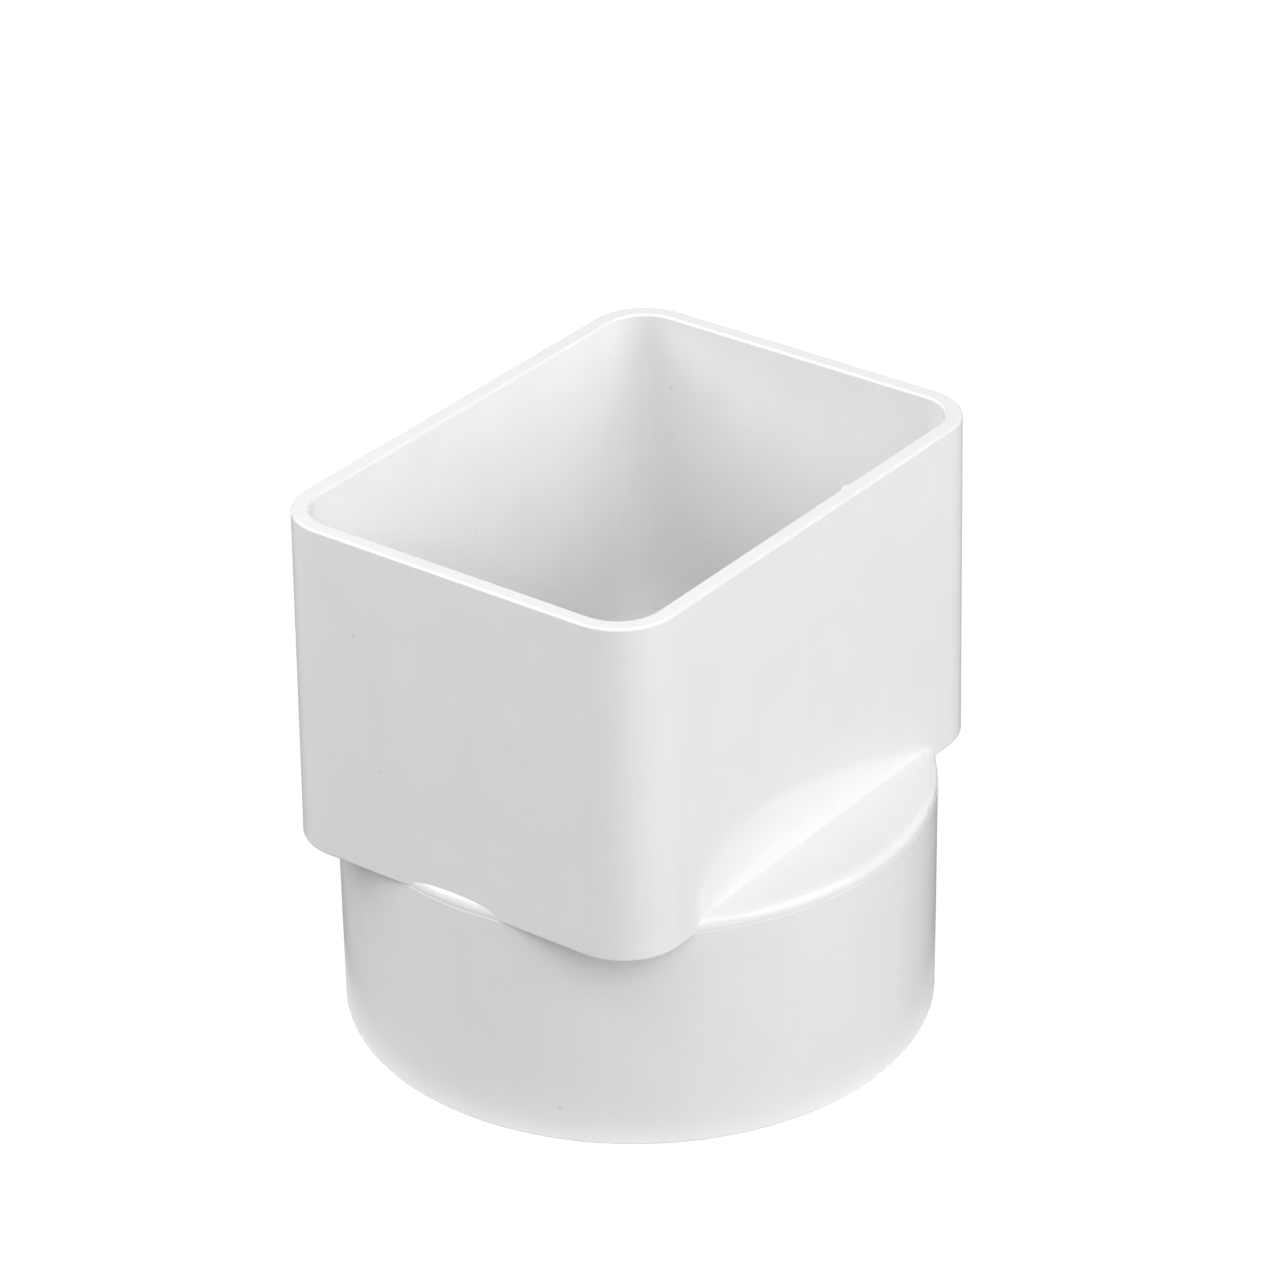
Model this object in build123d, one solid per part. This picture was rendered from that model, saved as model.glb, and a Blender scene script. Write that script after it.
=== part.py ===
from build123d import *
import math
import os

# Downspout adapter: one white injection-moulded plastic piece. A round collar slips over a drain pipe,
# a rectangular tube above it takes a downspout, and a thin floor plate joins the two outlines.
# Millimetres, +Z up, origin at the bottom centre of the collar, X along the tube's long side.

# Wall of the collar, and of the tube at its rim
WALL = 2.5

# Round collar
PIPE_BORE = 83.0
PIPE_DEPTH = 34.85
PIPE_STOP = 2.0
LEAD_IN = 0.6

# Floor plate between the collar and the tube, and how its edge leans
PLATE = 2.3
PLATE_DRAFT = 2.0

# Rectangular tube, inside sizes at the rim
SPOUT_LENGTH = 80.4
SPOUT_WIDTH = 58.8
SPOUT_DEPTH = 50.0
INSIDE_CORNER = 6.5
OUTSIDE_CORNER = 8.8
INSIDE_DRAFT = 0.15
OUTSIDE_DRAFT = 0.62

# Parting line of the mould: the plate's edge above it stands a hair inside the collar below it
PARTING_RISE = 0.15
PARTING_STEP = 0.05

# Roundings of the moulding
SHOULDER = 1.7
RIM_EDGE = 0.4
UNDER_EDGE = 0.5

# Bead of flash left on the inside of the rim, on one long side
NIB_PLACE = 10.2
NIB_WIDTH = 1.6
NIB_PROUD = 0.12
NIB_HEIGHT = 1.5

# Levels and radii that follow from the sizes above
FLOOR_TOP = PIPE_DEPTH + PLATE
RIM_LEVEL = FLOOR_TOP + SPOUT_DEPTH
PARTING_LEVEL = PIPE_DEPTH + PARTING_RISE
BORE_RADIUS = PIPE_BORE / 2
COLLAR_RADIUS = BORE_RADIUS + WALL

# How far a cutting body runs past the face it opens
CLEAR = 5.0


def spread(height, draft):
    """How far a drafted wall leans over a height."""
    return height * math.tan(math.radians(draft))


def drafted_block(length, width, corner, low, high, rim, draft):
    """Round-cornered block from low to high that has the given size at the rim level.

    A positive draft makes it narrower toward the top, a negative one wider.
    """
    grow = spread(rim - low, draft)
    foot = RectangleRounded(length + 2 * grow, width + 2 * grow, corner + grow)
    return extrude(Pos(0, 0, low) * foot, high - low, taper=draft)


def collar_outside():
    """Outer form of the collar, and of the floor plate's edge above the parting line.

    The plate's edge leans inward and its upper rim is rounded; the tube walls cut it into crescents.
    """
    lip = COLLAR_RADIUS - PARTING_STEP
    crown = lip - spread(FLOOR_TOP - PARTING_LEVEL, PLATE_DRAFT)
    lower = Polyline((0, 0), (COLLAR_RADIUS, 0), (COLLAR_RADIUS, PARTING_LEVEL), (lip, PARTING_LEVEL))
    upper = Polyline((lip, PARTING_LEVEL), (crown, FLOOR_TOP), (0, FLOOR_TOP), (0, 0))
    body = revolve(Plane.XZ * make_face(lower + upper), Axis.Z)
    rings = body.edges().filter_by(GeomType.CIRCLE).sort_by(Axis.Z)
    body = fillet(rings[-1], SHOULDER)
    rings = body.edges().filter_by(GeomType.CIRCLE).sort_by(Axis.Z)
    return fillet(rings[0], RIM_EDGE)


def tube_outside():
    """Outer form of the tube, whose lower corners overhang the collar."""
    length = SPOUT_LENGTH + 2 * WALL
    width = SPOUT_WIDTH + 2 * WALL
    body = drafted_block(length, width, OUTSIDE_CORNER, PIPE_DEPTH, RIM_LEVEL, RIM_LEVEL, OUTSIDE_DRAFT)
    return fillet(body.faces().sort_by(Axis.Z)[0].edges(), UNDER_EDGE)


def downspout_socket():
    """Pocket for the downspout, from the corner ledges up past the rim."""
    top = RIM_LEVEL + CLEAR
    return drafted_block(
        SPOUT_LENGTH, SPOUT_WIDTH, INSIDE_CORNER, FLOOR_TOP, top, RIM_LEVEL, -INSIDE_DRAFT
    )


def pipe_socket():
    """Bore for the pipe, with a chamfered mouth, up to the underside of the floor plate."""
    lip = BORE_RADIUS + LEAD_IN
    mouth = Polyline((0, -CLEAR), (lip, -CLEAR), (lip, 0), (BORE_RADIUS, LEAD_IN))
    side = Polyline((BORE_RADIUS, LEAD_IN), (BORE_RADIUS, PIPE_DEPTH), (0, PIPE_DEPTH), (0, -CLEAR))
    return revolve(Plane.XZ * make_face(mouth + side), Axis.Z)


def water_way():
    """Hole through the floor plate: the pocket's outline, less what stands in as a stop for the pipe."""
    shrink = spread(SPOUT_DEPTH, INSIDE_DRAFT)
    outline = RectangleRounded(
        SPOUT_LENGTH - 2 * shrink, SPOUT_WIDTH - 2 * shrink, INSIDE_CORNER - shrink
    )
    hole = outline & Circle(BORE_RADIUS - PIPE_STOP)
    low = PIPE_DEPTH - CLEAR
    return extrude(Pos(0, 0, low) * hole, PLATE + 2 * CLEAR)


def rim_edges(body):
    """Both outlines of the flat rim at the top of the tube."""
    return body.faces().sort_by(Axis.Z)[-1].edges()


def flash_nib():
    """Low round-backed bead of flash on the inside of the long wall, level with the rim."""
    wall_face = -SPOUT_WIDTH / 2
    root = wall_face - WALL / 2
    radius = (NIB_WIDTH**2 / 4 + NIB_PROUD**2) / (2 * NIB_PROUD)
    bead = Pos(0, wall_face + NIB_PROUD - radius) * Circle(radius)
    strip = Pos(0, root) * Rectangle(NIB_WIDTH, WALL, align=(Align.CENTER, Align.MIN))
    return extrude(Pos(NIB_PLACE, 0, RIM_LEVEL - NIB_HEIGHT) * (bead & strip), NIB_HEIGHT)


def adapter():
    """The whole moulding."""
    body = collar_outside() + tube_outside()
    body = body - pipe_socket() - water_way() - downspout_socket()
    body = fillet(rim_edges(body), RIM_EDGE)
    return body + flash_nib()


os.makedirs("parts", exist_ok=True)
export_step(adapter(), "parts/adapter.step")
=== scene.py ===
import math

import bpy
from mathutils import Matrix, Vector

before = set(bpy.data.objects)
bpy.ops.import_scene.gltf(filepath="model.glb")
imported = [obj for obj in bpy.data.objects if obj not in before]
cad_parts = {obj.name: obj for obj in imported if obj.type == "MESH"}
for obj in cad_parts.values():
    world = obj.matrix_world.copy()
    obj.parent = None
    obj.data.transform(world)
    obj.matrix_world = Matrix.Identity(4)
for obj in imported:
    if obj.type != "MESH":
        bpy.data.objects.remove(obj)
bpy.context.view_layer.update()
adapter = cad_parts["adapter"]
scene = bpy.context.scene

# Sizes are in metres, and angles in degrees
MM = 0.001

# The photograph's camera, solved from the part's edges. Lens and sensor are in millimetres
CAMERA_AZIMUTH = -52.952
CAMERA_ELEVATION = 29.15
CAMERA_ROLL = -0.91
CAMERA_DISTANCE = 753.8 * MM
CAMERA_AIM_HEIGHT = 45.0 * MM
CAMERA_SHIFT_RIGHT = 0.566 * MM
CAMERA_SHIFT_UP = 11.163 * MM
CAMERA_LENS = 145.705
CAMERA_SENSOR = 36.0
CAMERA_NEAR = 0.01
CAMERA_FAR = 50.0

# Floor paint: grey, with two paler zones that are painted light: a ring at the part's foot, whose bounce
# lights the foot, and a disc within the collar, where the collar shades the floor; and the radii between
# which each of the paler zones ends
FLOOR_SIDE = 8.0
FLOOR_COLOUR = 0.35
FOOT_PAINTED_LIGHT_COLOUR = 0.7
FOOT_PAINTED_LIGHT_RADII = (45.0 * MM, 50.0 * MM)
UNDER_COLLAR_PAINTED_LIGHT_COLOUR = 0.9
UNDER_COLLAR_PAINTED_LIGHT_RADII = (41.0 * MM, 43.0 * MM)

# White that the floor shows to the camera: its share and strength, and the radii between which it
# comes in where the floor is seen in a mirror image
WHITE_SHARE = 0.72
WHITE_STRENGTH = 1.3
MIRRORED_RADII = (150.0 * MM, 420.0 * MM)

# Strength of the even light from all sides
AMBIENT = 0.08

# Softboxes: name, azimuth from the camera (positive to its right), elevation and power in watts
SOFTBOX_SIDE = 1.2
SOFTBOX_DISTANCE = 1.4
SOFTBOXES = (
    ("right", 60.0, 28.0, 12.7),
    ("low_right", 110.0, 12.0, 3.0),
    ("front", 0.0, 44.0, 9.0),
    ("left", -98.0, 44.0, 16.3),
)

# The plastic, and the range of a noise pattern that is spread over each change below
PLASTIC_COLOUR = 0.9
PLASTIC_IOR = 1.5
PLASTIC_ROUGHNESS = 0.1
NOISE_RANGE = (0.3, 0.7)

# Patterns of colour and roughness: scale per metre, detail, and how far the value changes either way
MOTTLE = (110.0, 3.0, 0.012)
STREAKS = (600.0, 2.0, 0.004)
UNEVEN_GLOSS = (60.0, 4.0, 0.02)

# The streaks are drawn out along Z by this scaling of the axes
STREAK_AXES = (1.0, 1.0, 0.04)

# Relief of the moulded skin: scale per metre, detail and depth
WAVES = (70.0, 1.0, 0.12 * MM)
GRAIN = (2200.0, 2.0, 0.004 * MM)

# Specks of dirt: place and radius in millimetres. The shade is full over the core, a share of the radius
SPECKS = (
    (0.83, 29.34, 66.28, 0.3),
    (40.17, 22.78, 75.53, 0.4),
    (-42.86, 16.6, 72.79, 0.32),
    (-43.08, 12.79, 52.11, 0.3),
    (-40.92, -16.17, 5.59, 0.42),
)
SPECK_SHADE = 0.87
SPECK_CORE = 0.5


def toward(azimuth, elevation):
    """Unit vector from the part toward a camera or lamp."""
    a = math.radians(azimuth)
    e = math.radians(elevation)
    return Vector((math.sin(a) * math.cos(e), -math.cos(a) * math.cos(e), math.sin(e)))


def add_camera():
    """Camera at the photograph's place."""
    back = toward(CAMERA_AZIMUTH, CAMERA_ELEVATION)
    right = Vector((0, 0, 1)).cross(back).normalized()
    up = back.cross(right)
    roll = math.radians(CAMERA_ROLL)
    rolled_right = right * math.cos(roll) + up * math.sin(roll)
    rolled_up = up * math.cos(roll) - right * math.sin(roll)
    place = Vector((0, 0, CAMERA_AIM_HEIGHT)) + back * CAMERA_DISTANCE
    place += rolled_right * CAMERA_SHIFT_RIGHT + rolled_up * CAMERA_SHIFT_UP
    data = bpy.data.cameras.new("camera")
    data.lens = CAMERA_LENS
    data.sensor_width = CAMERA_SENSOR
    data.clip_start = CAMERA_NEAR
    data.clip_end = CAMERA_FAR
    camera = bpy.data.objects.new("camera", data)
    turn = Matrix((rolled_right, rolled_up, back)).transposed()
    camera.matrix_world = Matrix.Translation(place) @ turn.to_4x4()
    scene.collection.objects.link(camera)
    scene.camera = camera


def new_tree(owner):
    """Empty node tree of a material or world."""
    owner.use_nodes = True
    owner.node_tree.nodes.clear()
    return owner.node_tree


def feed(tree, socket, value):
    """Links a socket to another one, or sets it to a plain value."""
    if isinstance(value, bpy.types.NodeSocket):
        tree.links.new(value, socket)
    else:
        socket.default_value = value


def calculate(tree, operation, first, second):
    """Math node on two values."""
    node = tree.nodes.new("ShaderNodeMath")
    node.operation = operation
    feed(tree, node.inputs[0], first)
    feed(tree, node.inputs[1], second)
    return node.outputs[0]


def remap(tree, value, limits, low, high):
    """Value that goes from low to high as the given one goes from its first limit to its second."""
    node = tree.nodes.new("ShaderNodeMapRange")
    node.inputs["From Min"].default_value = limits[0]
    node.inputs["From Max"].default_value = limits[1]
    node.inputs["To Min"].default_value = low
    node.inputs["To Max"].default_value = high
    feed(tree, node.inputs["Value"], value)
    return node.outputs["Result"]


def distance_to(tree, place, point):
    """Distance of the shaded place from a point."""
    node = tree.nodes.new("ShaderNodeVectorMath")
    node.operation = "DISTANCE"
    node.inputs[1].default_value = point
    tree.links.new(place, node.inputs[0])
    return node.outputs["Value"]


def stretched(tree, place, factors):
    """The shaded place with its axes scaled."""
    node = tree.nodes.new("ShaderNodeVectorMath")
    node.operation = "MULTIPLY"
    node.inputs[1].default_value = factors
    tree.links.new(place, node.inputs[0])
    return node.outputs["Vector"]


def noise(tree, place, scale, detail):
    """Noise about 0.5."""
    node = tree.nodes.new("ShaderNodeTexNoise")
    node.inputs["Scale"].default_value = scale
    node.inputs["Detail"].default_value = detail
    tree.links.new(place, node.inputs["Vector"])
    return node.outputs[0]


def varied(tree, place, middle, pattern):
    """Value that a noise pattern varies about its middle."""
    scale, detail, change = pattern
    clouds = noise(tree, place, scale, detail)
    return remap(tree, clouds, NOISE_RANGE, middle - change, middle + change)


def relief(tree, place, pattern, normal=None):
    """Bump from a noise pattern, on top of another bump if there is one."""
    scale, detail, depth = pattern
    node = tree.nodes.new("ShaderNodeBump")
    node.inputs["Distance"].default_value = depth
    tree.links.new(noise(tree, place, scale, detail), node.inputs["Height"])
    if normal is not None:
        tree.links.new(normal, node.inputs["Normal"])
    return node.outputs["Normal"]


def floor_material():
    """Grey paint with paler zones of painted light at the part's foot and within the collar, under a share
    of white for the camera and for mirror images.
    """
    material = bpy.data.materials.new("floor")
    tree = new_tree(material)
    out = tree.nodes.new("ShaderNodeOutputMaterial")
    mix = tree.nodes.new("ShaderNodeMixShader")
    paint = tree.nodes.new("ShaderNodeBsdfDiffuse")
    white = tree.nodes.new("ShaderNodeEmission")
    white.inputs["Strength"].default_value = WHITE_STRENGTH
    path = tree.nodes.new("ShaderNodeLightPath").outputs
    place = tree.nodes.new("ShaderNodeTexCoord").outputs["Object"]
    reach = distance_to(tree, place, (0, 0, 0))
    # Painted light: a ring of paler paint at the foot, whose bounce puts a glow on the part's foot
    grey_floor_and_painted_foot_light = remap(tree, reach, FOOT_PAINTED_LIGHT_RADII, FOOT_PAINTED_LIGHT_COLOUR, FLOOR_COLOUR)
    # Painted light: paler paint within the collar, where the collar shades the floor
    painted_light_under_collar = remap(tree, reach, UNDER_COLLAR_PAINTED_LIGHT_RADII, UNDER_COLLAR_PAINTED_LIGHT_COLOUR, 0.0)
    feed(tree, paint.inputs["Color"], calculate(tree, "MAXIMUM", grey_floor_and_painted_foot_light, painted_light_under_collar))
    mirrored = calculate(tree, "ADD", path["Is Glossy Ray"], path["Is Transmission Ray"])
    distant = calculate(tree, "MULTIPLY", mirrored, remap(tree, reach, MIRRORED_RADII, 0.0, 1.0))
    seen = calculate(tree, "MAXIMUM", path["Is Camera Ray"], distant)
    feed(tree, mix.inputs["Fac"], calculate(tree, "MULTIPLY", seen, WHITE_SHARE))
    tree.links.new(paint.outputs[0], mix.inputs[1])
    tree.links.new(white.outputs[0], mix.inputs[2])
    tree.links.new(mix.outputs[0], out.inputs["Surface"])
    return material


def add_floor():
    """Square floor at the part's foot."""
    half = FLOOR_SIDE / 2
    corners = [(-half, -half, 0), (half, -half, 0), (half, half, 0), (-half, half, 0)]
    mesh = bpy.data.meshes.new("floor")
    mesh.from_pydata(corners, [], [(0, 1, 2, 3)])
    mesh.materials.append(floor_material())
    floor = bpy.data.objects.new("floor", mesh)
    scene.collection.objects.link(floor)


def add_world():
    """Even white light from all sides."""
    world = bpy.data.worlds.new("studio")
    scene.world = world
    tree = new_tree(world)
    out = tree.nodes.new("ShaderNodeOutputWorld")
    ambient = tree.nodes.new("ShaderNodeBackground")
    ambient.inputs["Strength"].default_value = AMBIENT
    ambient.inputs["Color"].default_value = (1, 1, 1, 1)
    tree.links.new(ambient.outputs[0], out.inputs["Surface"])


def add_softbox(name, azimuth, elevation, power):
    """Square lamp that faces the part."""
    data = bpy.data.lights.new(name, "AREA")
    data.shape = "SQUARE"
    data.size = SOFTBOX_SIDE
    data.energy = power
    lamp = bpy.data.objects.new(name, data)
    out = toward(CAMERA_AZIMUTH + azimuth, elevation)
    lamp.location = Vector((0, 0, CAMERA_AIM_HEIGHT)) + out * SOFTBOX_DISTANCE
    lamp.rotation_mode = "QUATERNION"
    lamp.rotation_quaternion = (-out).to_track_quat("-Z", "Y")
    scene.collection.objects.link(lamp)


def plastic():
    """White moulded plastic: mottling, flow streaks, uneven gloss, relief and specks of dirt, all faint."""
    material = bpy.data.materials.new("white_plastic_moulded")
    tree = new_tree(material)
    out = tree.nodes.new("ShaderNodeOutputMaterial")
    skin = tree.nodes.new("ShaderNodeBsdfPrincipled")
    skin.inputs["IOR"].default_value = PLASTIC_IOR
    place = tree.nodes.new("ShaderNodeTexCoord").outputs["Object"]
    mottle = varied(tree, place, 1.0, MOTTLE)
    streaks = varied(tree, stretched(tree, place, STREAK_AXES), 1.0, STREAKS)
    pattern = calculate(tree, "MULTIPLY", mottle, streaks)
    tone = calculate(tree, "MULTIPLY", pattern, PLASTIC_COLOUR)
    for x, y, z, radius in SPECKS:
        away = distance_to(tree, place, (x * MM, y * MM, z * MM))
        limits = (SPECK_CORE * radius * MM, radius * MM)
        tone = calculate(tree, "MULTIPLY", tone, remap(tree, away, limits, SPECK_SHADE, 1.0))
    feed(tree, skin.inputs["Base Color"], tone)
    feed(tree, skin.inputs["Roughness"], varied(tree, place, PLASTIC_ROUGHNESS, UNEVEN_GLOSS))
    waves = relief(tree, place, WAVES)
    feed(tree, skin.inputs["Normal"], relief(tree, place, GRAIN, waves))
    tree.links.new(skin.outputs[0], out.inputs["Surface"])
    return material


scene.view_settings.view_transform = "Standard"
add_camera()
add_world()
add_floor()
for softbox in SOFTBOXES:
    add_softbox(*softbox)
adapter.material_slots[0].material = plastic()
